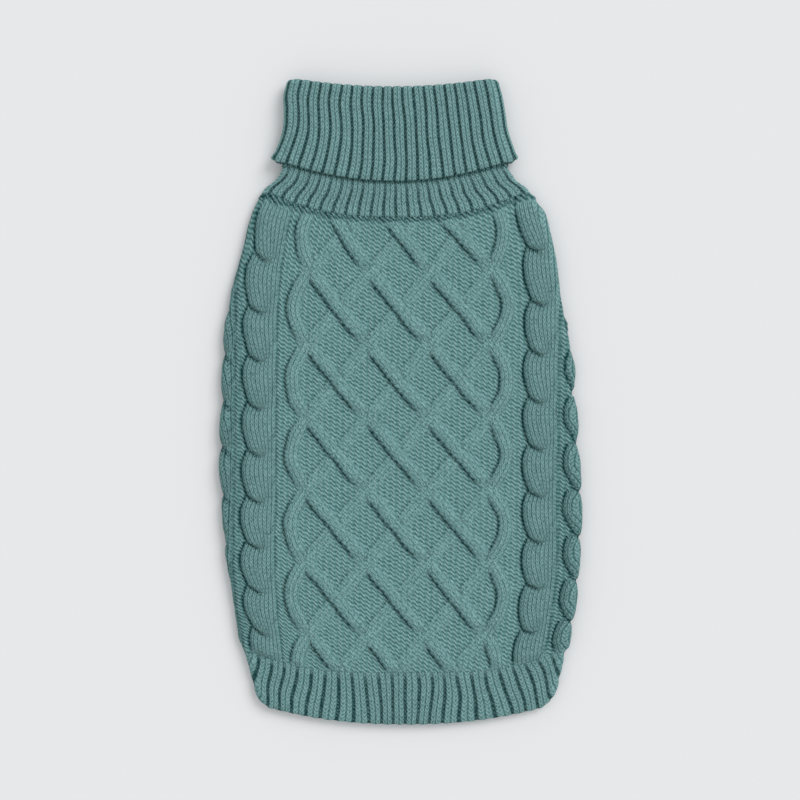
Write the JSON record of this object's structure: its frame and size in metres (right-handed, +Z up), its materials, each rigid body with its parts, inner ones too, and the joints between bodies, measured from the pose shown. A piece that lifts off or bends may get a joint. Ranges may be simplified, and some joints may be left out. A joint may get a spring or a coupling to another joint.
{
  "type": "dog sweater",
  "caption": "Cable-knit dog sweater laid flat on its belly, with a trellis panel and rope cables down the back, a rolled rib collar, a rib hem and front-leg openings.",
  "frame": {"origin": "centre of the bounding box in plan, on the surface that the sweater lies on", "axes": "+Y from the hem to the neck, +Z up out of the cabled back, +X to the right seen from above"},
  "size_m": [0.2656, 0.4704, 0.0148],
  "materials": {
    "knit": "matte"
  },
  "bodies": {
    "root": {"back_panel": "knit", "belly_panel": "knit", "collar": "knit", "hem_band": "knit"}
  },
  "joints": []
}
